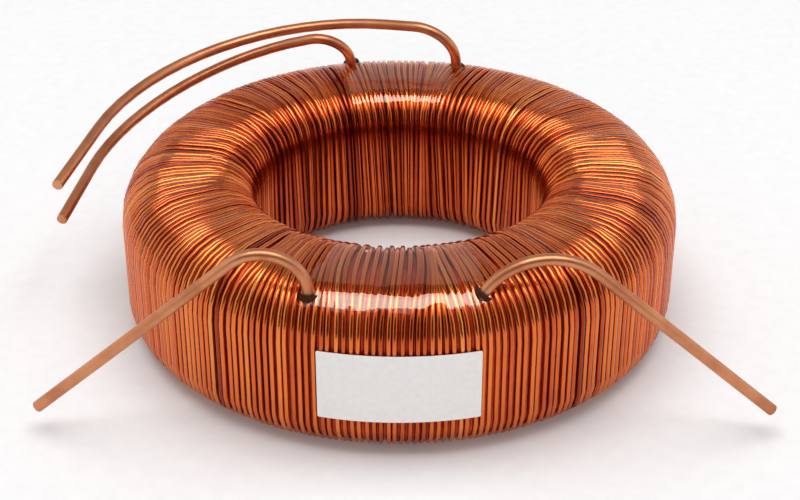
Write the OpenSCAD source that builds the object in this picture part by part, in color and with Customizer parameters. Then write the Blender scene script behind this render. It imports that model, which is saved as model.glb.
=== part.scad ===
// Toroidal transformer: a tape-wound steel ring core in two insulating covers, a primary and
// a secondary winding wound around the ring, four stiff copper leads and a bare label.
// Millimetres. The ring's axis is Z, the base rests on z = 0 and the label faces -Y.

/* [Ring] */
// Outer diameter over the winding
ring_od = 150; // [100:1:200]
// Diameter of the free bore through the winding
bore_d = 76.8; // [60:0.2:100]
// Height of the wound ring
ring_height = 44.3; // [38:0.1:70]
// Rounding of the outer edge at the top
top_outer_r = 15; // [12:0.5:18]
// Rounding of the inner edge at the top
top_inner_r = 13; // [11:0.5:15]
// Rounding of both edges at the base
base_r = 8; // [7:0.5:12]

/* [Secondary winding] */
// Turns counted around the ring
turns = 260; // [200:2:270]
// Depth of the groove between two neighbouring turns
groove = 0.8; // [0.4:0.1:1]
// How far every second turn lies beneath its neighbours in the bore
bore_sink = 1.07; // [0.5:0.01:1.4]
// The same on top of the ring and below it, near the bore
flat_sink = 0.5; // [0:0.05:1]
// Depth of a groove beneath the sunk turns
sunk_groove = 0.35; // [0.1:0.05:0.6]
// Thickness of the winding on the outer wall
secondary_out = 2.8; // [2:0.1:3.2]
// Thickness of the winding on top and below
secondary_flat = 3; // [2:0.1:3.2]
// Thickness of the winding in the bore, where the turns crowd
secondary_bore = 4.2; // [3:0.1:4.4]

/* [Layers inside] */
// Tape between the windings: outside
tape_out = 0.6; // [0.3:0.1:0.8]
// Tape between the windings: top and bottom
tape_flat = 0.7; // [0.3:0.1:0.9]
// Tape between the windings: in the bore, where it overlaps
tape_bore = 1.2; // [0.6:0.1:1.4]
// Primary winding: outside
primary_out = 3.4; // [2:0.1:3.6]
// Primary winding: top and bottom
primary_flat = 3.2; // [2:0.1:3.4]
// Primary winding: in the bore
primary_bore = 3; // [2:0.1:3.2]
// Tape around the covered core: outside
core_tape_out = 0.6; // [0.3:0.1:0.8]
// Tape around the covered core: top and bottom
core_tape_flat = 0.5; // [0.3:0.1:0.8]
// Tape around the covered core: in the bore
core_tape_bore = 0.8; // [0.4:0.1:1]
// Wall of the two insulating covers
cover_wall = 1.2; // [0.8:0.1:1.6]
// Gap between the rims of the two covers
cover_gap = 2; // [0.5:0.5:6]
// Bevel on the covers' edges
cover_bevel = 1; // [0.5:0.1:1.2]
// Bevel of the tape over the covers' edges
core_tape_bevel = 2; // [1:0.1:3]

/* [Leads] */
// Diameter of the copper leads
lead_d = 3; // [2:0.05:4]
// Length of the round free end of each lead, to which a cable is joined
lead_end = 15; // [5:1:20]
// Outer diameter of the sleeve that guides each lead through the turns
sleeve_d = 5; // [4.6:0.1:6]
// Clearance between a lead and its sleeve, and between a sleeve and the turns
sleeve_clear = 0.05; // [0.02:0.01:0.2]
// How deep a sleeve's upper end lies beneath the winding's surface
sleeve_inset = 0.5; // [0:0.1:1]
// Clearance between the inner end of a lead or sleeve and the layer beneath it
seat_clear = 0.3; // [0.25:0.05:0.5]
// Root of the primary's start lead: right of the middle, and in from the outer wall
primary_start_root = [17, 14.7];
// From its root to the corner of its first bend
primary_start_rise = [-1.5, -6.4, 14.7];
// Corner of its second bend, from the ring's left, back and top
primary_start_sweep = [8, 11, 6.7];
// Its free end, from the ring's left, middle and top
primary_start_tip = [-16, -8, -4.8];
// Its first bend's radius, and how much the second one's is less than the ring's radius
primary_start_bends = [10.5, 15];
// Root of the primary's end lead: right of the middle, and in from the outer wall
primary_end_root = [-14.5, 11.2];
// From its root to the corner of its first bend
primary_end_rise = [-1.8, -5.5, 11.8];
// Corner of its second bend, from the ring's left, back and top
primary_end_sweep = [-1.9, -1.2, -7.7];
// Its free end, from the ring's left, middle and top
primary_end_tip = [-17, -2.8, -18.2];
// Its first bend's radius, and how much the second one's is less than the ring's radius
primary_end_bends = [8.7, 23.5];
// Root of the secondary's start lead: right of the middle, and in from the outer wall
secondary_start_root = [-21.5, 6.5];
// From its root to the corner of its bend
secondary_start_rise = [-2, -1.5, 21.8];
// Its free end, from the ring's left, front and base
secondary_start_tip = [-15, 13, 6];
// Its bend's radius
secondary_start_bend = 11; // [6:0.5:14]
// Root of the secondary's end lead: right of the middle, and in from the outer wall
secondary_end_root = [20.5, 6.8];
// From its root to the corner of its bend
secondary_end_rise = [12, 1, 16.6];
// Its free end, from the ring's right, front and base
secondary_end_tip = [17.5, 11.5, 6];
// Its bend's radius
secondary_end_bend = 18; // [8:0.5:20]

/* [Label] */
// Width along the outer wall
label_w = 40; // [20:1:60]
// Height
label_h = 19; // [10:0.5:22]
// Height of its lower edge
label_z = 10.7; // [9:0.1:12]
// Thickness
label_t = 0.15; // [0.1:0.01:0.3]

/* [Hidden] */
$fn = 64;

ring_r = ring_od / 2;
bore_r = bore_d / 2;
// Sides of the leads' bent stretches, the angle of one step round a bend, and how far out
// their facets' edges lie
lead_sides = 20;
bend_step = 12;
lead_inside = 0.998;

// How deep each layer starts beneath the winding's surface: outside, flat and in the bore
tape_at = [secondary_out, secondary_flat, secondary_bore];
primary_at = tape_at + [tape_out, tape_flat, tape_bore];
core_tape_at = primary_at + [primary_out, primary_flat, primary_bore];
cover_at = core_tape_at + [core_tape_out, core_tape_flat, core_tape_bore];
core_at = cover_at + [cover_wall, cover_wall, cover_wall];
core_mid = ring_height / 2;

// The section's rounded corners: centre, radius, the angle where it begins and the number of
// points that draw it. They run from the base's inner edge round the outer wall.
corners = [
    [bore_r + base_r, base_r, base_r, 180, 2],
    [ring_r - base_r, base_r, base_r, 270, 2],
    [ring_r - top_outer_r, ring_height - top_outer_r, top_outer_r, 0, 4],
    [bore_r + top_inner_r, ring_height - top_inner_r, top_inner_r, 90, 3]
];
// Every point of the section: its corner, its angle and half the angle to the next point
spots = [for (c = corners) for (k = [0:c[4] - 1]) [c, c[3] + 45 / c[4] * (2 * k + 1), 45 / c[4]]];

// Depth at an angle of the section, from one depth outside, one on the flats, one in the bore
function depth(d, a) = let(wall = cos(a) > 0 ? d[0] : d[2])
    abs(cos(a)) > 0.75 ? wall : abs(cos(a)) < 0.65 ? d[1] : (wall + d[1]) / 2;
function depths(d) = [for (s = spots) depth(d, s[1])];
// Section of the ring, each point sunk by its own depth
function section(sink) = [
    for (i = [0:len(spots) - 1])
    let(c = spots[i][0], a = spots[i][1], q = (c[2] - sink[i]) / cos(spots[i][2]))
    [c[0] + q * cos(a), c[1] + q * sin(a)]
];

upper_turn = depths([0, 0, 0]);
sunk_turn = [for (s = spots) cos(s[1]) > 0 ? 0 : depth([0, flat_sink, bore_sink], s[1])];
valley = [for (s = sunk_turn) max(groove, s + sunk_groove)];

function unit(v) = v / norm(v);

// Solid ring whose surface lies d deep beneath the winding's surface.
module round_ring(d) rotate_extrude() polygon(section(depths(d)));

// Section of a ring with bevelled square edges, d deep beneath the winding's surface.
module square_section(d, bevel) {
    r0 = bore_r + d[2];
    r1 = ring_r - d[0];
    z0 = d[1];
    z1 = ring_height - d[1];
    polygon([
        [r0, z0 + bevel], [r0 + bevel, z0], [r1 - bevel, z0], [r1, z0 + bevel],
        [r1, z1 - bevel], [r1 - bevel, z1], [r0 + bevel, z1], [r0, z1 - bevel]
    ]);
}

// The core is wound from one strip of steel and has square edges.
module core() color("#6F7276") rotate_extrude() translate([bore_r + core_at[2], core_at[1]])
    square([ring_r - core_at[0] - bore_r - core_at[2], ring_height - 2 * core_at[1]]);

module cover_half(from_z) rotate_extrude() intersection() {
    difference() {
        square_section(cover_at, cover_bevel);
        translate([bore_r + core_at[2], core_at[1]])
            square([ring_r - core_at[0] - bore_r - core_at[2], ring_height - 2 * core_at[1]]);
    }
    translate([0, from_z]) square([ring_r, core_mid - cover_gap / 2]);
}
module core_cover_upper() color("#2E3A34") cover_half(core_mid + cover_gap / 2);
module core_cover_lower() color("#2E3A34") cover_half(0);

module core_tape() color("#D8C98A") rotate_extrude() difference() {
    square_section(core_tape_at, core_tape_bevel);
    square_section(cover_at, cover_bevel);
}

module primary_winding() color("#A8552A") difference() {
    round_ring(primary_at);
    rotate_extrude() square_section(core_tape_at, core_tape_bevel);
}

module interwinding_tape() color("#E0D6A8") difference() {
    round_ring(tape_at);
    round_ring(primary_at);
    sleeve_hole(primary_start, primary_at);
    sleeve_hole(primary_end, primary_at);
}

// Every turn is a ridge right round the ring's section, with a groove on each side. Every
// second turn sinks between its neighbours near the bore, where there is no room abreast.
module secondary_winding() color("#C4743F") {
    sections = [section(upper_turn), section(valley), section(sunk_turn), section(valley)];
    n = 2 * turns;
    m = len(sections[0]);
    points = [
        for (i = [0:n - 1]) for (q = sections[i % 4]) let(a = i * 360 / n)
        [q[0] * cos(a), q[0] * sin(a), q[1]]
    ];
    faces = [
        for (i = [0:n - 1]) for (j = [0:m - 1])
        let(k = (i + 1) % n, l = (j + 1) % m)
        each [[i * m + j, i * m + l, k * m + l], [k * m + l, k * m + j, i * m + j]]
    ];
    difference() {
        polyhedron(points, faces);
        round_ring(tape_at);
        sleeve_hole(primary_start, primary_at);
        sleeve_hole(primary_end, primary_at);
        sleeve_hole(secondary_start, tape_at);
        sleeve_hole(secondary_end, tape_at);
    }
}

// A point of the winding's surface on its outer shoulder, at the back (side 1) or the front
// (side -1). It is given by how far it lies right of the middle and in from the outer wall.
function on_shoulder(at, side) = let(r = ring_r - at[1], s = max(0, top_outer_r - at[1])) [
    at[0], side * sqrt(r * r - at[0] * at[0]),
    ring_height - top_outer_r + sqrt(top_outer_r * top_outer_r - s * s)
];
// Direction straight out of the surface at such a point
function outwards(p) = let(r = norm([p[0], p[1]]), s = max(0, r - ring_r + top_outer_r) / top_outer_r)
    [p[0] * s / r, p[1] * s / r, sqrt(1 - s * s)];

// Each lead's route: its root on the winding's surface, its bends' corners and its free end.
primary_start_from = on_shoulder(primary_start_root, 1);
primary_start = [
    primary_start_from, primary_start_from + primary_start_rise,
    [-ring_r, ring_r, ring_height] + primary_start_sweep, [-ring_r, 0, ring_height] + primary_start_tip
];
primary_end_from = on_shoulder(primary_end_root, 1);
primary_end = [
    primary_end_from, primary_end_from + primary_end_rise,
    [-ring_r, ring_r, ring_height] + primary_end_sweep, [-ring_r, 0, ring_height] + primary_end_tip
];
secondary_start_from = on_shoulder(secondary_start_root, -1);
secondary_start = [
    secondary_start_from, secondary_start_from + secondary_start_rise,
    [-ring_r, -ring_r, 0] + secondary_start_tip
];
secondary_end_from = on_shoulder(secondary_end_root, -1);
secondary_end = [
    secondary_end_from, secondary_end_from + secondary_end_rise,
    [ring_r, -ring_r, 0] + secondary_end_tip
];

// How far beneath its root a square-cut round end of radius r lies on its route, when its
// lowest edge (edge 1) or its highest (edge -1) is the clearance above the layer that starts
// at the given depths. The route meets the surface at a slant.
function reach(route, at, clearance, r, edge) = let(
    n = outwards(route[0]), c = unit(route[1] - route[0]) * n
) (depth(at, acos(norm([n[0], n[1]]))) - clearance - edge * r * sqrt(1 - c * c)) / c;

// Round bar along a line through p, between two distances from p
module bar(p, direction, from, to, d) translate(p)
    rotate([0, acos(unit(direction)[2]), atan2(direction[1], direction[0])])
    translate([0, 0, from]) cylinder(h = to - from, d = d);

// Hole for a sleeve right through the layers above the one that its lead joins
module sleeve_hole(route, joins) {
    d = sleeve_d + 2 * sleeve_clear;
    bar(route[0], route[1] - route[0], -reach(route, joins, 0, d / 2, -1), sleeve_d, d);
}

// Insulating sleeve around a lead where it passes through the turns
module sleeve(route, joins) color("#3A1A12") {
    u = route[1] - route[0];
    low = -reach(route, joins, seat_clear, sleeve_d / 2, 1);
    difference() {
        bar(route[0], u, low, -sleeve_inset, sleeve_d);
        bar(route[0], u, low - 1, 1, lead_d + 2 * sleeve_clear);
    }
}

// Angle by which a lead turns at corner i of its route
function turn(route, i) = acos(unit(route[i] - route[i - 1]) * unit(route[i + 1] - route[i]));
// Length that a bend takes of the straight before it and of the one behind it. It takes no
// more than the bend before it and the free end leave.
function taken(route, radii, i) = i == 0 ? 0 : min(
    radii[i - 1] * tan(turn(route, i) / 2),
    norm(route[i] - route[i - 1]) - taken(route, radii, i - 1),
    norm(route[i + 1] - route[i]) - (i == len(route) - 2 ? lead_end : 0)
);

// Points along the bend at corner i, each with the lead's direction there. The straights
// between them touch the bend's arc from outside.
function bend(route, radii, i) = let(
    u = unit(route[i] - route[i - 1]), w = unit(route[i + 1] - route[i]),
    angle = turn(route, i), side = unit(w - (u * w) * u),
    t = taken(route, radii, i), r = t / tan(angle / 2),
    c = route[i] - u * t + side * r, n = ceil(angle / bend_step), q = r / cos(angle / n / 2)
) [
    for (k = [0:n - 1]) let(a = angle * (k + 0.5) / n)
    [c + q * (u * sin(a) - side * cos(a)), u * cos(a) + side * sin(a)]
];

// A lead is one stiff bar: straight, round the bends and straight again to its free end.
// The bent stretch has flat facets, and reaches one diameter into the round free end.
module lead(route, radii, joins) color("#CF8658") {
    last = len(route) - 1;
    u = unit(route[1] - route[0]);
    w = unit(route[last] - route[last - 1]);
    c = concat(
        [[route[0] - u * reach(route, joins, seat_clear, lead_d / 2, 1), u]],
        [for (i = [1:last - 1]) each bend(route, radii, i)],
        [[route[last] - w * (lead_end - lead_d), w]]
    );
    n = len(c);
    m = n * lead_sides;
    // One direction across the lead at every point, turned as little as the bends allow
    across = [
        for (i = 0, v = unit(cross(u, [0.3, 1, 0.1])); i < n; i = i + 1,
             v = i < n ? unit(v - (v * c[i][1]) * c[i][1]) : v) v
    ];
    skin = [
        for (i = [0:n - 1]) for (k = [0:lead_sides - 1]) let(b = 360 * k / lead_sides)
        c[i][0] + lead_inside * lead_d / 2 * (across[i] * cos(b) + cross(c[i][1], across[i]) * sin(b))
    ];
    polyhedron(concat(skin, [c[0][0], c[n - 1][0]]), concat(
        [for (k = [0:lead_sides - 1]) let(l = (k + 1) % lead_sides)
            each [[m, k, l], [m + 1, m - lead_sides + l, m - lead_sides + k]]],
        [for (i = [0:n - 2]) for (k = [0:lead_sides - 1])
            let(l = (k + 1) % lead_sides, a = i * lead_sides, b = a + lead_sides)
            each [[a + k, b + k, b + l], [a + k, b + l, a + l]]]
    ));
    bar(route[last], w, -lead_end, 0, lead_d);
}

module primary_start_lead()
    lead(primary_start, [primary_start_bends[0], ring_r - primary_start_bends[1]], primary_at);
module primary_end_lead()
    lead(primary_end, [primary_end_bends[0], ring_r - primary_end_bends[1]], primary_at);
module secondary_start_lead() lead(secondary_start, [secondary_start_bend], tape_at);
module secondary_end_lead() lead(secondary_end, [secondary_end_bend], tape_at);
module primary_start_sleeve() sleeve(primary_start, primary_at);
module primary_end_sleeve() sleeve(primary_end, primary_at);
module secondary_start_sleeve() sleeve(secondary_start, tape_at);
module secondary_end_sleeve() sleeve(secondary_end, tape_at);

// Self-adhesive label on the outer wall, bent with it.
module label() color("#E9E6E6") {
    angle = label_w / ring_r * 180 / PI;
    rotate([0, 0, -90 - angle / 2]) rotate_extrude(angle = angle)
        translate([ring_r, label_z]) square([label_t, label_h]);
}

core();
core_cover_upper();
core_cover_lower();
core_tape();
primary_winding();
interwinding_tape();
secondary_winding();
primary_start_lead();
primary_end_lead();
secondary_start_lead();
secondary_end_lead();
primary_start_sleeve();
primary_end_sleeve();
secondary_start_sleeve();
secondary_end_sleeve();
label();
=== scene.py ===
import math

import bmesh
import bpy
from mathutils import Matrix, Vector, noise


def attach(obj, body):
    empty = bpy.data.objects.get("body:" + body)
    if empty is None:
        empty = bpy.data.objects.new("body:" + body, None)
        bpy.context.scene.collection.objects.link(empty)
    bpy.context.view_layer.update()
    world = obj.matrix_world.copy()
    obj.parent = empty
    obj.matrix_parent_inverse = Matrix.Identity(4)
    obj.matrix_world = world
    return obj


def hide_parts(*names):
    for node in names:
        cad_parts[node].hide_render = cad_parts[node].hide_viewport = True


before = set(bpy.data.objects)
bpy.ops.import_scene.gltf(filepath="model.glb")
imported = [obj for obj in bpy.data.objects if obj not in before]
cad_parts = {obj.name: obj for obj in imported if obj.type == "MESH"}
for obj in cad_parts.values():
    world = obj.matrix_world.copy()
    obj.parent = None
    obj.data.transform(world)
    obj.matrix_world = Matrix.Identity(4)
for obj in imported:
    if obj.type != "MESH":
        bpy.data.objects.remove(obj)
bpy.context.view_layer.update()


# ---- Camera ----
# A long lens looks down at the label from the front, about 30 degrees above the table.
camera = bpy.data.objects.new("camera", bpy.data.cameras.new("camera"))
bpy.context.collection.objects.link(camera)
camera.data.sensor_width = 36.0
camera.data.lens = 76.763
camera.data.clip_start = 0.01
camera.location = (0.00019, -0.40835, 0.25373)
camera.rotation_euler = (math.radians(90 - 30.321), 0.0, 0.0)
bpy.context.scene.camera = camera
bpy.context.scene.view_settings.view_transform = "Standard"


# ---- Table and studio light ----
# A white paper sweep under large soft lamps. The paper keeps the ring's soft grey shadow.
def colour(code):
    """Linear colour of an sRGB hex value."""
    parts = [int(code[i:i + 2], 16) / 255 for i in (1, 3, 5)]
    return [p / 12.92 if p <= 0.04045 else ((p + 0.055) / 1.055) ** 2.4 for p in parts] + [1.0]


def node(tree, kind, values=None, links=None, stops=None, **properties):
    """Adds a node with its properties, socket values, links and ramp colours."""
    made = tree.nodes.new(kind)
    for name, value in properties.items():
        setattr(made, name, value)
    for name, value in (values or {}).items():
        made.inputs[name].default_value = value
    for name, source in (links or {}).items():
        tree.links.new(source, made.inputs[name])
    if stops:
        ramp = made.color_ramp.elements
        while len(ramp) < len(stops):
            ramp.new(0.5)
        for element, (position, code) in zip(ramp, stops):
            element.position = position
            element.color = colour(code)
    return made


def blank_material(name):
    """An empty node material and its tree."""
    material = bpy.data.materials.new(name)
    material.use_nodes = True
    material.node_tree.nodes.clear()
    return material, material.node_tree


def stage_piece(name, shape, material):
    """A piece of the studio from a bmesh."""
    mesh = bpy.data.meshes.new(name)
    shape.to_mesh(mesh)
    shape.free()
    piece = bpy.data.objects.new(name, mesh)
    bpy.context.collection.objects.link(piece)
    mesh.materials.append(material)
    return piece


# Matt white paper: a plain diffuse sheet with a faint fibre grain, lifted a little for the lens.
paper, tree = blank_material("matt_white_paper")
fibre = node(tree, "ShaderNodeTexNoise", {"Scale": 900.0, "Detail": 2.0})
shade = node(tree, "ShaderNodeValToRGB", links={"Fac": fibre.outputs["Fac"]},
             stops=[(0.3, "#F5F4F5"), (0.7, "#F8F8F8")])
sheet = node(tree, "ShaderNodeBsdfDiffuse", links={"Color": shade.outputs["Color"]})
glow = node(tree, "ShaderNodeEmission", {"Color": colour("#FFFFFF"), "Strength": 1.0})
ray = node(tree, "ShaderNodeLightPath")
mirrored = node(tree, "ShaderNodeMath", links={0: ray.outputs["Is Glossy Ray"],
                1: ray.outputs["Is Transmission Ray"]}, operation="MAXIMUM")
seen = node(tree, "ShaderNodeMath", links={0: ray.outputs["Is Camera Ray"],
            1: mirrored.outputs[0]}, operation="MAXIMUM")
part = node(tree, "ShaderNodeMath", {1: 0.04}, {0: seen.outputs[0]}, operation="MULTIPLY")
surface = node(tree, "ShaderNodeMixShader", links={"Fac": part.outputs[0]})
tree.links.new(sheet.outputs[0], surface.inputs[1])
tree.links.new(glow.outputs[0], surface.inputs[2])
node(tree, "ShaderNodeOutputMaterial", links={"Surface": surface.outputs[0]})

table = bmesh.new()
bmesh.ops.create_grid(table, x_segments=2, y_segments=2, size=2.0)
stage_piece("paper_table", table, paper)

world = bpy.data.worlds.new("studio")
bpy.context.scene.world = world
world.use_nodes = True
tree = world.node_tree
tree.nodes.clear()
ray = node(tree, "ShaderNodeLightPath")
mirrored = node(tree, "ShaderNodeMath", links={0: ray.outputs["Is Glossy Ray"],
                1: ray.outputs["Is Transmission Ray"]}, operation="MAXIMUM")
shown = node(tree, "ShaderNodeMath", links={0: ray.outputs["Is Camera Ray"],
             1: mirrored.outputs[0]}, operation="MAXIMUM")
plain = node(tree, "ShaderNodeMath", {1: 0.64, 2: 0.36}, {0: shown.outputs[0]},
             operation="MULTIPLY_ADD")
air = node(tree, "ShaderNodeBackground", {"Color": colour("#FFFFFF")},
           {"Strength": plain.outputs[0]})
node(tree, "ShaderNodeOutputWorld", links={"Surface": air.outputs[0]})


def softbox(name, place, target, width, height, power):
    """A rectangular soft lamp at a place, turned to a target, all in metres and watts."""
    lamp = bpy.data.lights.new(name, "AREA")
    lamp.shape = "RECTANGLE"
    lamp.size, lamp.size_y, lamp.energy = width, height, power
    holder = bpy.data.objects.new(name, lamp)
    bpy.context.collection.objects.link(holder)
    holder.location = place
    holder.rotation_euler = (Vector(target) - Vector(place)).to_track_quat("-Z", "Y").to_euler()
    return holder


# Two boxes make the reflections only, and two light the paper and the label only.
softbox("front_softbox", (0.0, -0.40, 1.11), (0, 0, 0.03), 1.05, 0.58, 8.4).visible_diffuse = False
softbox("rear_softbox", (0.0, 0.9, 0.9), (0, 0, 0), 3.2, 1.45, 5.8).visible_diffuse = False
softbox("overhead_softbox", (0.0, 0.12, 1.3), (0, 0, 0), 1.4, 1.1, 14.8).visible_glossy = False
softbox("front_fill", (0.0, -1.2, 0.35), (0, 0, 0.02), 1.0, 0.4, 2.6).visible_glossy = False

# Dark red velvet: matt, with a fine pile. It is hung round the front softbox and behind the
# rear one, so that varnish and metal keep dark, warm reflections beside the bright ones.
velvet, tree = blank_material("dark_red_velvet")
pile = node(tree, "ShaderNodeTexNoise", {"Scale": 400.0, "Detail": 2.0})
shade = node(tree, "ShaderNodeValToRGB", links={"Fac": pile.outputs["Fac"]},
             stops=[(0.3, "#260602"), (0.7, "#340A04")])
matt = node(tree, "ShaderNodeBsdfDiffuse", links={"Color": shade.outputs["Color"]})
node(tree, "ShaderNodeOutputMaterial", links={"Surface": matt.outputs[0]})


def flag(name, place, target, width, height):
    """A sheet of velvet that the lens doesn't see."""
    sheet = bmesh.new()
    turn = (Vector(target) - Vector(place)).to_track_quat("-Z", "Y").to_matrix().to_4x4()
    bmesh.ops.create_grid(sheet, x_segments=1, y_segments=1, size=0.5,
                          matrix=Matrix.Translation(place) @ turn
                          @ Matrix.Diagonal((width, height, 1.0, 1.0)))
    hung = stage_piece(name, sheet, velvet)
    hung.visible_camera = hung.visible_diffuse = hung.visible_shadow = False


flag("front_flag", (0.0, -1.25, 0.64), (0, 0, 0.64), 2.6, 1.24)
flag("top_flag", (0.0, 0.02, 1.25), (0, 0, 0), 1.8, 0.55)
flag("rear_flag", (0.0, 1.05, 1.05), (0, 0, 0), 3.8, 1.75)


# ---- Core and its insulation ----
# The hidden middle: a steel strip wound into a ring, in two moulded covers and film tape.
# The CAD solids stay as they are and get their real materials.
def cad_material(name, node_name, make):
    """Gives a CAD node one material of its own."""
    material, tree = blank_material(name)
    make(tree)
    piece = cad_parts[node_name]
    piece.data.materials.clear()
    piece.data.materials.append(material)


def wound_strip_steel(tree):
    # Silicon steel strip on edge: fine dull rings, one every 0.3 mm across the ring.
    place = node(tree, "ShaderNodeTexCoord")
    rings = node(tree, "ShaderNodeTexWave", {"Scale": 1000 / 0.3 / 20, "Distortion": 0.3},
                 {"Vector": place.outputs["Object"]}, wave_type="RINGS", rings_direction="Z")
    shade = node(tree, "ShaderNodeValToRGB", links={"Fac": rings.outputs["Fac"]},
                 stops=[(0.0, "#5A5C5F"), (1.0, "#8A8C90")])
    bump = node(tree, "ShaderNodeBump", {"Strength": 0.3, "Distance": 0.0001},
                {"Height": rings.outputs["Fac"]})
    skin = node(tree, "ShaderNodeBsdfPrincipled", {"Metallic": 1.0, "Roughness": 0.45},
                {"Base Color": shade.outputs["Color"], "Normal": bump.outputs["Normal"]})
    node(tree, "ShaderNodeOutputMaterial", links={"Surface": skin.outputs[0]})


def moulded_nylon(tree):
    # Moulded glass-filled nylon: dark, matt, with a fine spark-eroded grain.
    place = node(tree, "ShaderNodeTexCoord")
    grain = node(tree, "ShaderNodeTexNoise", {"Scale": 1800.0, "Detail": 3.0},
                 {"Vector": place.outputs["Object"]})
    shade = node(tree, "ShaderNodeValToRGB", links={"Fac": grain.outputs["Fac"]},
                 stops=[(0.3, "#28332D"), (0.7, "#36423B")])
    bump = node(tree, "ShaderNodeBump", {"Strength": 0.2, "Distance": 0.00005},
                {"Height": grain.outputs["Fac"]})
    skin = node(tree, "ShaderNodeBsdfPrincipled", {"Roughness": 0.6, "IOR": 1.53},
                {"Base Color": shade.outputs["Color"], "Normal": bump.outputs["Normal"]})
    node(tree, "ShaderNodeOutputMaterial", links={"Surface": skin.outputs[0]})


def polyester_tape(tree):
    # Clear yellow polyester film lapped round the ring: faint edges, smooth and half glossy.
    place = node(tree, "ShaderNodeTexCoord")
    laps = node(tree, "ShaderNodeTexWave", {"Scale": 18.0, "Distortion": 1.5},
                {"Vector": place.outputs["Object"]}, wave_type="BANDS", bands_direction="DIAGONAL")
    shade = node(tree, "ShaderNodeValToRGB", links={"Fac": laps.outputs["Fac"]},
                 stops=[(0.1, "#C9B36A"), (0.9, "#DCCB8E")])
    bump = node(tree, "ShaderNodeBump", {"Strength": 0.3, "Distance": 0.0001},
                {"Height": laps.outputs["Fac"]})
    skin = node(tree, "ShaderNodeBsdfPrincipled", {"Roughness": 0.3, "IOR": 1.6},
                {"Base Color": shade.outputs["Color"], "Normal": bump.outputs["Normal"]})
    node(tree, "ShaderNodeOutputMaterial", links={"Surface": skin.outputs[0]})


cad_material("wound_strip_steel", "core", wound_strip_steel)
cad_material("moulded_nylon_upper", "core_cover_upper", moulded_nylon)
cad_material("moulded_nylon_lower", "core_cover_lower", moulded_nylon)
cad_material("polyester_tape_core", "core_tape", polyester_tape)
cad_material("polyester_tape_between", "interwinding_tape", polyester_tape)


# ---- Outer winding ----
# 260 turns of 1.4 mm enamelled copper wire, wound over a round-edged ring, lie side by side
# on the outer wall. In the bore there is no room abreast, so every second turn sinks under
# its neighbours, and on top the turns lean in groups as the winding machine left them.
turns = 260
pitch = 2 * math.pi / turns
wire_r = 0.0007
wall_r = 0.0743          # wire centres on the outer wall
bore_r = 0.0391          # wire centres of the upper turns in the bore
low_z, high_z = 0.0007, 0.0436
mid_z, half_z = (low_z + high_z) / 2, (high_z - low_z) / 2
base_round, outer_round, inner_round = 0.0073, 0.0143, 0.0123
least_r = 0.045          # a turn strays by an angle taken at this radius or a larger one
sink_from, sink_over = 0.053, 0.010     # radius where every second turn starts to sink
sink_in, sink_down = 0.00107, 0.0005    # how deep it lies in the bore and on the flats
# Painted shade: inside this radius the turns' colour is made darker, standing in for shade in the
# bore.
painted_shade_from, painted_shade_over, painted_shade_depth = 0.045, 0.004, 0.22    # the turns are darker in the bore

# The corners' centres: radius and height for the outer and inner shoulder and the base.
outer_x, outer_z = wall_r - outer_round, high_z - outer_round
inner_x, inner_z = bore_r + inner_round, high_z - inner_round
foot_out_x, foot_in_x, foot_z = wall_r - base_round, bore_r + base_round, low_z + base_round


def one_turn():
    """A closed turn of wire at azimuth 0: straights drawn out and corners spun round."""
    turn = bmesh.new()
    start = Matrix.Translation((wall_r, 0, foot_z))
    bmesh.ops.create_circle(turn, segments=6, radius=wire_r, matrix=start)
    edges = list(turn.edges)

    def straight(way, steps):
        nonlocal edges
        for _ in range(steps):
            drawn = bmesh.ops.extrude_edge_only(turn, edges=edges)["geom"]
            edges = [g for g in drawn if isinstance(g, bmesh.types.BMEdge)]
            points = [g for g in drawn if isinstance(g, bmesh.types.BMVert)]
            bmesh.ops.translate(turn, verts=points, vec=Vector(way) / steps)

    def corner(x, z, steps):
        nonlocal edges
        points = list({v for e in edges for v in e.verts})
        spun = bmesh.ops.spin(turn, geom=points + edges, cent=(x, 0, z), axis=(0, -1, 0),
                              angle=math.pi / 2, steps=steps)["geom_last"]
        edges = [g for g in spun if isinstance(g, bmesh.types.BMEdge)]

    straight((0, 0, outer_z - foot_z), 3)
    corner(outer_x, outer_z, 6)
    straight((inner_x - outer_x, 0, 0), 2)
    corner(inner_x, inner_z, 6)
    straight((0, 0, foot_z - inner_z), 3)
    corner(foot_in_x, foot_z, 3)
    straight((foot_out_x - foot_in_x, 0, 0), 2)
    corner(foot_out_x, foot_z, 3)
    bmesh.ops.remove_doubles(turn, verts=turn.verts, dist=1e-6)
    bmesh.ops.recalc_face_normals(turn, faces=turn.faces)
    mesh = bpy.data.meshes.new("one_turn")
    turn.to_mesh(mesh)
    turn.free()
    return mesh


def wander(seed, i, slow, fast):
    """How far turn i strays, in metres: a slow drift shared by a group, and its own error."""
    drift = noise.noise(Vector((i * 0.085, seed, 0.3)))
    own = noise.noise(Vector((i * 7.31, seed + 40.0, 0.7)))
    return slow * drift + fast * own


def turn_azimuth(i, x, z):
    """The azimuth of turn i where it passes a radius and a height."""
    inward = min(max((wall_r - x) / (wall_r - bore_r), 0.0), 1.0)
    up = (z - mid_z) / half_z
    at_wall, at_bore = wander(1, i, 0.0006, 0.0005), wander(5, i, 0.0036, 0.0007)
    bow = wander(9, i, 0.0012, 0.0008) + 0.0026 * noise.noise(Vector((i * 0.27, 17.0, 0.6)))
    tilt = wander(21, i, 0.0028, 0.0002) * inward * up
    slide = at_wall + (at_bore - at_wall) * inward + bow * math.sin(math.pi * inward) * up + tilt
    return (i + 0.5) * pitch + slide / max(x, least_r)


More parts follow.
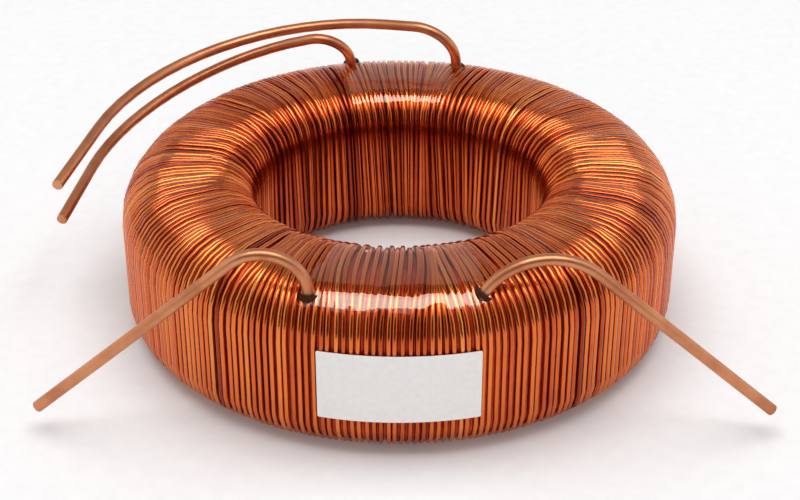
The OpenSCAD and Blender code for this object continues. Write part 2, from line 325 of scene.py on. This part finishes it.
winding = bmesh.new()
turn_tone_and_painted_bore_shade = winding.verts.layers.float.new("turn_tone_and_painted_bore_shade")
pattern = one_turn()
for i in range(turns):
    before = len(winding.verts)
    winding.from_mesh(pattern)
    winding.verts.ensure_lookup_table()
    sunk = i % 2
    dip = abs(wander(13, i, 0.0, 0.0003))
    shade = 0.5 + 0.9 * noise.noise(Vector((i * 3.17, 2.0, 0.1)))
    for v in winding.verts[before:]:
        x, y, z = v.co
        inward = min(max((wall_r - x) / (wall_r - bore_r), 0.0), 1.0)
        inner = min(max((sink_from - x) / sink_over, 0.0), 1.0) * sunk
        up = (z - mid_z) / half_z
        angle = turn_azimuth(i, x, z)
        x += sink_in * inner * (1 - abs(up) ** 6) - dip * (1 - inward)
        z -= (sink_down * inner + dip * inward) * up
        # Each turn's own tone, less a painted shade that darkens the turns in the bore.
        v[turn_tone_and_painted_bore_shade] = shade - painted_shade_depth * min(max((painted_shade_from - v.co.x) / painted_shade_over, 0.0), 1.0)
        v.co = Matrix.Rotation(angle, 3, "Z") @ Vector((x, y, z))
for face in winding.faces:
    face.smooth = True
wire_mesh = bpy.data.meshes.new("winding_wire")
winding.to_mesh(wire_mesh)
winding.free()
wire = bpy.data.objects.new("winding_wire", wire_mesh)
bpy.context.collection.objects.link(wire)
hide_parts("secondary_winding")
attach(wire, "root")

# Enamelled copper under clear varnish: every turn has its own tone of orange-brown, since the
# enamel and the varnish vary in thickness, and a hard gloss lies over it. In the bore the colour
# is painted darker still, as painted shade.
enamel, tree = blank_material("varnished_enamelled_copper")
place = node(tree, "ShaderNodeTexCoord")
own = node(tree, "ShaderNodeAttribute", attribute_name="turn_tone_and_painted_bore_shade")
mottle = node(tree, "ShaderNodeTexNoise", {"Scale": 160.0, "Detail": 3.0},
              {"Vector": place.outputs["Object"]})
blend = node(tree, "ShaderNodeMath", {1: 0.35, 2: -0.17}, {0: mottle.outputs["Fac"]},
             operation="MULTIPLY_ADD")
mixed = node(tree, "ShaderNodeMath", links={0: own.outputs["Fac"], 1: blend.outputs[0]},
             operation="ADD")
shade = node(tree, "ShaderNodeValToRGB", links={"Fac": mixed.outputs[0]},
             stops=[(0.0, "#9A3610"), (0.25, "#C15122"), (0.5, "#DA6C30"), (0.75, "#E47A38"),
                    (1.0, "#EC8E48")])
skin = node(tree, "ShaderNodeBsdfPrincipled",
            {"Metallic": 0.93, "Roughness": 0.2, "Coat Weight": 0.18, "Coat Roughness": 0.05,
             "Coat IOR": 1.5},
            {"Base Color": shade.outputs["Color"]})
node(tree, "ShaderNodeOutputMaterial", links={"Surface": skin.outputs[0]})
wire_mesh.materials.append(enamel)


# ---- Lower layers of the winding ----
# Between the visible turns one looks down on the turns of the layer beneath, coloured dark red
# partly for pooled varnish and partly as painted shade in the gaps. They close the gaps all round
# as one lathe-turned skin.
def ring_section(shape, outer, inner):
    """Closed section of the ring beneath the crests at azimuth 0, by its two depths."""
    loop = []
    for cx, cz, rounding, begin, depth in ((foot_in_x, foot_z, base_round, 180, inner),
                                           (foot_out_x, foot_z, base_round, 270, outer),
                                           (outer_x, outer_z, outer_round, 0, outer),
                                           (inner_x, inner_z, inner_round, 90, inner)):
        r = rounding + wire_r - depth
        for k in range(7):
            a = math.radians(begin + 15 * k)
            loop.append(shape.verts.new((cx + r * math.cos(a), 0, cz + r * math.sin(a))))
    return [shape.edges.new((loop[k - 1], loop[k])) for k in range(len(loop))]


under = bmesh.new()
section = ring_section(under, 0.00115, 0.0020)
bmesh.ops.spin(under, geom=list(under.verts) + section, cent=(0, 0, 0), axis=(0, 0, 1),
               angle=2 * math.pi, steps=180, use_merge=True)
bmesh.ops.recalc_face_normals(under, faces=under.faces)
for face in under.faces:
    face.smooth = True
under_mesh = bpy.data.meshes.new("winding_under_layer")
under.to_mesh(under_mesh)
under.free()
under_layer = bpy.data.objects.new("winding_under_layer", under_mesh)
bpy.context.collection.objects.link(under_layer)
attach(under_layer, "root")

# Varnish pooled over copper: deep red-brown, partly the varnish and partly painted shade in the
# gaps, ribbed at the 1.8 mm pitch of the turns.
pooled, tree = blank_material("pooled_varnish_and_painted_gap_shade")
place = node(tree, "ShaderNodeTexCoord")
axes = node(tree, "ShaderNodeSeparateXYZ", links={"Vector": place.outputs["Object"]})
azimuth = node(tree, "ShaderNodeMath", links={0: axes.outputs["Y"], 1: axes.outputs["X"]},
               operation="ARCTAN2")
phase = node(tree, "ShaderNodeMath", {1: float(turns)}, {0: azimuth.outputs[0]},
             operation="MULTIPLY")
rib = node(tree, "ShaderNodeMath", links={0: phase.outputs[0]}, operation="COSINE")
mottle = node(tree, "ShaderNodeTexNoise", {"Scale": 220.0, "Detail": 3.0},
              {"Vector": place.outputs["Object"]})
# Deep red stops: partly the varnish's colour, partly painted shade for the gaps between turns.
shade = node(tree, "ShaderNodeValToRGB", links={"Fac": mottle.outputs["Fac"]},
             stops=[(0.3, "#A82A08"), (0.7, "#D04A18")])
bump = node(tree, "ShaderNodeBump", {"Strength": 0.6, "Distance": 0.0004},
            {"Height": rib.outputs[0]})
skin = node(tree, "ShaderNodeBsdfPrincipled",
            {"Metallic": 0.6, "Roughness": 0.4, "Coat Weight": 0.2, "Coat Roughness": 0.1},
            {"Base Color": shade.outputs["Color"], "Normal": bump.outputs["Normal"]})
node(tree, "ShaderNodeOutputMaterial", links={"Surface": skin.outputs[0]})
under_mesh.materials.append(pooled)


def hidden_turns(tree):
    # The primary lies under tape: even layers of enamelled wire, ribbed 1.8 mm apart. Its colour
    # is painted darker in the grooves between turns, as painted shade.
    place = node(tree, "ShaderNodeTexCoord")
    axes = node(tree, "ShaderNodeSeparateXYZ", links={"Vector": place.outputs["Object"]})
    azimuth = node(tree, "ShaderNodeMath", links={0: axes.outputs["Y"], 1: axes.outputs["X"]},
                   operation="ARCTAN2")
    phase = node(tree, "ShaderNodeMath", {1: 250.0}, {0: azimuth.outputs[0]},
                 operation="MULTIPLY")
    rib = node(tree, "ShaderNodeMath", links={0: phase.outputs[0]}, operation="COSINE")
    # Dark where the rib is low: painted shade in the grooves between turns.
    shade = node(tree, "ShaderNodeValToRGB", links={"Fac": rib.outputs[0]},
                 stops=[(0.0, "#7A3218"), (1.0, "#BF6632")])
    bump = node(tree, "ShaderNodeBump", {"Strength": 0.8, "Distance": 0.0004},
                {"Height": rib.outputs[0]})
    skin = node(tree, "ShaderNodeBsdfPrincipled", {"Metallic": 0.7, "Roughness": 0.35},
                {"Base Color": shade.outputs["Color"], "Normal": bump.outputs["Normal"]})
    node(tree, "ShaderNodeOutputMaterial", links={"Surface": skin.outputs[0]})


cad_material("enamelled_copper_primary", "primary_winding", hidden_turns)


# ---- Varnish film ----
# Where varnish pooled while the ring hung to drain, it bridges the turns as a clear sheet that
# sags a little between their crests: on the front shoulder and top, and behind the bore.
def varnish_pool(name, middle, half_width, first, last, slack, seed):
    """A patch of film on the top of the ring, round an azimuth, between two corner angles."""
    film = bmesh.new()
    line = []
    steps = 60
    for k in range(steps + 1):
        a = math.radians(first + (last - first) * k / steps)
        flat = (outer_x - inner_x) * min(max((a - math.radians(80)) / math.radians(20), 0.0), 1.0)
        cz, rounding = (outer_z, outer_round) if a < math.pi / 2 else (inner_z, inner_round)
        r = rounding + wire_r
        line.append(film.verts.new((outer_x - flat + r * math.cos(a), 0, cz + r * math.sin(a))))
    outer, inner = line[0].co.x, line[-1].co.x
    edges = [film.edges.new(pair) for pair in zip(line, line[1:])]
    bmesh.ops.rotate(film, verts=film.verts, cent=(0, 0, 0),
                     matrix=Matrix.Rotation(math.radians(middle - half_width), 3, "Z"))
    bmesh.ops.spin(film, geom=line + edges, cent=(0, 0, 0), axis=(0, 0, 1),
                   angle=math.radians(2 * half_width), steps=int(half_width * 12))
    bmesh.ops.recalc_face_normals(film, faces=film.faces)
    if sum(face.normal.z for face in film.faces) < 0:
        bmesh.ops.reverse_faces(film, faces=film.faces)
    film.normal_update()
    mask = film.verts.layers.float.new("cover")
    crest_half = 0.0008      # the film has sunk fully this far from a crest
    inner_fade, outer_fade = 0.006, 0.012
    ripple, lift = 0.00009, 0.00001
    moves = []
    for v in film.verts:
        turned = math.degrees(math.atan2(v.co.y, v.co.x))
        across = abs((turned - middle + 180) % 360 - 180) / half_width
        ring_x = math.hypot(v.co.x, v.co.y)
        v[mask] = min(1.0 - across, (ring_x - inner) / inner_fade - 0.2,
                      (outer - ring_x) / outer_fade)
        here = math.radians(turned % 360)
        guess = int(here / pitch)
        near = min(abs(here - turn_azimuth(i % turns, ring_x, v.co.z)) for i in
                   range(guess - 3, guess + 4)) * ring_x
        sag = slack / 2 * (1 - math.cos(min(near / crest_half, 1.0) * math.pi))
        wave = ripple * noise.noise(v.co * 230.0 + Vector((seed, 0, 0)))
        moves.append(v.normal * (lift + wave - sag))
    for v, move in zip(film.verts, moves):
        v.co += move
    for face in film.faces:
        face.smooth = True
    mesh = bpy.data.meshes.new(name)
    film.to_mesh(mesh)
    film.free()
    piece = bpy.data.objects.new(name, mesh)
    bpy.context.collection.objects.link(piece)
    mesh.materials.append(clear_varnish)
    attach(piece, "root")


# Clear varnish seen as its gloss alone: it mirrors more at a slant, and thins out to nothing in
# ragged tongues at its edge.
clear_varnish, tree = blank_material("clear_pooled_varnish")
place = node(tree, "ShaderNodeTexCoord")
cover = node(tree, "ShaderNodeAttribute", attribute_name="cover")
tongues = node(tree, "ShaderNodeTexNoise", {"Scale": 150.0, "Detail": 4.0, "Roughness": 0.6},
               {"Vector": place.outputs["Object"]})
edge = node(tree, "ShaderNodeMath", {1: 2.0}, {0: cover.outputs["Fac"]}, operation="MULTIPLY")
ragged = node(tree, "ShaderNodeMath", links={0: edge.outputs[0], 1: tongues.outputs["Fac"]},
              operation="ADD")
present = node(tree, "ShaderNodeMapRange", {"From Min": 0.74, "From Max": 0.80},
               {"Value": ragged.outputs[0]})
gloss = node(tree, "ShaderNodeFresnel", {"IOR": 1.85})
side = node(tree, "ShaderNodeNewGeometry")
upper = node(tree, "ShaderNodeMath", {0: 1.0}, {1: side.outputs["Backfacing"]},
             operation="SUBTRACT")
outside = node(tree, "ShaderNodeMath", links={0: gloss.outputs[0], 1: upper.outputs[0]},
               operation="MULTIPLY")
shown = node(tree, "ShaderNodeMath", links={0: outside.outputs[0],
             1: present.outputs["Result"]}, operation="MULTIPLY")
skin = node(tree, "ShaderNodeBsdfPrincipled",
            {"Base Color": colour("#FFEBDF"), "Metallic": 1.0, "Roughness": 0.03},
            {"Alpha": shown.outputs[0]})
node(tree, "ShaderNodeOutputMaterial", links={"Surface": skin.outputs[0]})

varnish_pool("front_varnish_pool", -90, 21, 35, 112, 0.00004, 1.0)
varnish_pool("rear_varnish_pool", 90, 21, 70, 150, 0.00010, 5.0)


# ---- Leads ----
# Four bars of bare 3 mm copper, bent by hand round a former. They are stiff enough to stand
# free, and end in a sheared face with a small burr-free edge. Each starts on the layer below
# the outer turns, which here run on through the bar and its sleeve.
lead_r = 0.0015


def lead(name, route, radii, reach, slot_name):
    """A bar drawn along straights and spun round each bend, from inside the ring to its end."""
    route = [Vector(p) / 1000 for p in route]
    ways = [(b - a).normalized() for a, b in zip(route, route[1:])]
    bar = bmesh.new()
    across = ways[0].to_track_quat("Z", "Y").to_matrix().to_4x4()
    start = route[0] - ways[0] * reach / 1000
    bmesh.ops.create_circle(bar, segments=20, radius=lead_r, cap_ends=True,
                            matrix=Matrix.Translation(start) @ across)
    edges = list(bar.edges)
    here = start
    for i, way in enumerate(ways):
        last = i == len(ways) - 1
        if last:
            stop = route[-1]
        else:
            half = way.angle(ways[i + 1]) / 2
            r = radii[i] / 1000
            stop = route[i + 1] - way * r * math.tan(half)
        drawn = bmesh.ops.extrude_edge_only(bar, edges=edges)["geom"]
        edges = [g for g in drawn if isinstance(g, bmesh.types.BMEdge)]
        points = [g for g in drawn if isinstance(g, bmesh.types.BMVert)]
        bmesh.ops.translate(bar, verts=points, vec=stop - here)
        here = stop
        if not last:
            side = (ways[i + 1] - way * way.dot(ways[i + 1])).normalized()
            spun = bmesh.ops.spin(bar, geom=points + edges, cent=stop + side * r,
                                  axis=way.cross(side), angle=2 * half,
                                  steps=max(6, int(math.degrees(2 * half) / 6)))["geom_last"]
            edges = [g for g in spun if isinstance(g, bmesh.types.BMEdge)]
            here = stop + side * r + r * (way * math.sin(2 * half) - side * math.cos(2 * half))
    end_face = bmesh.ops.edgeloop_fill(bar, edges=edges)["faces"]
    bmesh.ops.remove_doubles(bar, verts=bar.verts, dist=1e-7)
    bmesh.ops.bevel(bar, geom=[e for e in bar.edges if e.calc_face_angle(0) > 1.2],
                    affect="EDGES", offset=0.00015, segments=2, profile=0.5, material=-1)
    bmesh.ops.recalc_face_normals(bar, faces=bar.faces)
    for face in bar.faces:
        face.smooth = len(face.verts) < 6
    mesh = bpy.data.meshes.new(name)
    bar.to_mesh(mesh)
    bar.free()
    piece = bpy.data.objects.new(name, mesh)
    bpy.context.collection.objects.link(piece)
    mesh.materials.append(bare_copper)
    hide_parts(slot_name)
    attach(piece, "root")


# Bare drawn copper, handled: satin, pinkish orange, with faint drawing lines and small
# darker tarnished patches.
bare_copper, tree = blank_material("bare_drawn_copper")
place = node(tree, "ShaderNodeTexCoord")
tarnish = node(tree, "ShaderNodeTexNoise", {"Scale": 90.0, "Detail": 5.0, "Roughness": 0.6},
               {"Vector": place.outputs["Object"]})
shade = node(tree, "ShaderNodeValToRGB", links={"Fac": tarnish.outputs["Fac"]},
             stops=[(0.3, "#B56C48"), (0.55, "#CF8A60"), (0.8, "#DA9A70")])
satin = node(tree, "ShaderNodeMapRange", {"From Min": 0.3, "From Max": 0.7, "To Min": 0.44,
             "To Max": 0.34}, {"Value": tarnish.outputs["Fac"]})
scuff = node(tree, "ShaderNodeTexNoise", {"Scale": 2500.0, "Detail": 2.0},
             {"Vector": place.outputs["Object"]})
bump = node(tree, "ShaderNodeBump", {"Strength": 0.15, "Distance": 0.00005},
            {"Height": scuff.outputs["Fac"]})
skin = node(tree, "ShaderNodeBsdfPrincipled", {"Metallic": 0.9},
            {"Base Color": shade.outputs["Color"], "Roughness": satin.outputs["Result"],
             "Normal": bump.outputs["Normal"]})
node(tree, "ShaderNodeOutputMaterial", links={"Surface": skin.outputs[0]})

lead("rear_outer_lead", [(17, 57.854, 44.297), (15.5, 51.454, 58.997), (-67, 86, 51),
     (-91, -8, 39.5)], (10.5, 60), 3.05, "primary_start_lead")
lead("rear_inner_lead", [(-14.5, 62.130, 43.811), (-16.3, 56.630, 55.611), (-76.9, 73.8, 36.6),
     (-92, -2.8, 26.1)], (8.7, 51.5), 3.17, "primary_end_lead")
lead("front_left_lead", [(-21.5, -65.038, 41.659), (-23.5, -66.538, 63.459), (-90, -62, 6)],
     (11,), 2.25, "secondary_start_lead")
lead("front_right_lead", [(20.5, -65.046, 41.860), (32.5, -64.046, 58.460), (92.5, -63.5, 6)],
     (18,), 2.28, "secondary_end_lead")


# ---- Lead sleeves ----
# A short sleeve lines the hole that each lead passes through. It is woven glass fibre
# soaked in varnish, dull brown, and coloured near black as painted shade in the hole round the
# lead.
def sleeving_with_painted_hole_shade(tree):
    place = node(tree, "ShaderNodeTexCoord")
    weave = node(tree, "ShaderNodeTexVoronoi", {"Scale": 1800.0},
                 {"Vector": place.outputs["Object"]})
    shade = node(tree, "ShaderNodeValToRGB", links={"Fac": weave.outputs["Distance"]},
                 # Near-black stops: painted shade in the hole round each lead, over the sleeving's
                 # own brown.
                 stops=[(0.0, "#2E1008"), (0.8, "#46200F")])
    bump = node(tree, "ShaderNodeBump", {"Strength": 0.4, "Distance": 0.0001},
                {"Height": weave.outputs["Distance"]})
    skin = node(tree, "ShaderNodeBsdfPrincipled", {"Roughness": 0.8, "Specular IOR Level": 0.2},
                {"Base Color": shade.outputs["Color"], "Normal": bump.outputs["Normal"]})
    node(tree, "ShaderNodeOutputMaterial", links={"Surface": skin.outputs[0]})


for name in ("primary_start", "primary_end", "secondary_start", "secondary_end"):
    cad_material("sleeving_with_painted_hole_shade_" + name, name + "_sleeve", sleeving_with_painted_hole_shade)


# ---- Label ----
# A white self-adhesive film label, bare, stuck on the outer wall. It is bent with the wall
# and lies on the crests of the turns, which show through as faint ribs.
label_r = 0.07503        # the film's back, just clear of the crests
label_low, label_high = 0.0107, 0.0297
label_angle = 30.56      # degrees: 40 mm round the wall
strip = bmesh.new()
begin = Matrix.Rotation(math.radians(-90 - label_angle / 2), 3, "Z")
foot = [strip.verts.new(begin @ Vector((label_r, 0, z))) for z in (label_low, label_high)]
edge = strip.edges.new(foot)
spun = bmesh.ops.spin(strip, geom=foot + [edge], cent=(0, 0, 0), axis=(0, 0, 1),
                      angle=math.radians(label_angle), steps=48)
bmesh.ops.recalc_face_normals(strip, faces=strip.faces)
if strip.faces[:][0].normal.y > 0:
    bmesh.ops.reverse_faces(strip, faces=strip.faces)
corners = [v for v in strip.verts if len(v.link_edges) == 2]
bmesh.ops.bevel(strip, geom=corners, affect="VERTICES", offset=0.0004, segments=3, profile=0.5,
                material=-1)
label_mesh = bpy.data.meshes.new("label_film")
strip.to_mesh(label_mesh)
strip.free()
film_label = bpy.data.objects.new("label_film", label_mesh)
bpy.context.collection.objects.link(film_label)
body = film_label.modifiers.new("film thickness", "SOLIDIFY")
body.thickness = 0.0001
body.offset = 1.0
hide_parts("label")
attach(film_label, "root")

# Printed-grade white film: satin, with a very faint grain and the turns' ribs beneath it.
white_film, tree = blank_material("white_label_film")
place = node(tree, "ShaderNodeTexCoord")
axes = node(tree, "ShaderNodeSeparateXYZ", links={"Vector": place.outputs["Object"]})
azimuth = node(tree, "ShaderNodeMath", links={0: axes.outputs["Y"], 1: axes.outputs["X"]},
               operation="ARCTAN2")
phase = node(tree, "ShaderNodeMath", {1: float(turns)}, {0: azimuth.outputs[0]},
             operation="MULTIPLY")
rib = node(tree, "ShaderNodeMath", links={0: phase.outputs[0]}, operation="SINE")
grain = node(tree, "ShaderNodeTexNoise", {"Scale": 700.0, "Detail": 2.0},
             {"Vector": place.outputs["Object"]})
shade = node(tree, "ShaderNodeValToRGB", links={"Fac": grain.outputs["Fac"]},
             stops=[(0.3, "#EFEBE9"), (0.7, "#F4F0EE")])
bump = node(tree, "ShaderNodeBump", {"Strength": 0.12, "Distance": 0.0001},
            {"Height": rib.outputs[0]})
skin = node(tree, "ShaderNodeBsdfPrincipled", {"Roughness": 0.5, "IOR": 1.5},
            {"Base Color": shade.outputs["Color"], "Normal": bump.outputs["Normal"]})
node(tree, "ShaderNodeOutputMaterial", links={"Surface": skin.outputs[0]})
label_mesh.materials.append(white_film)
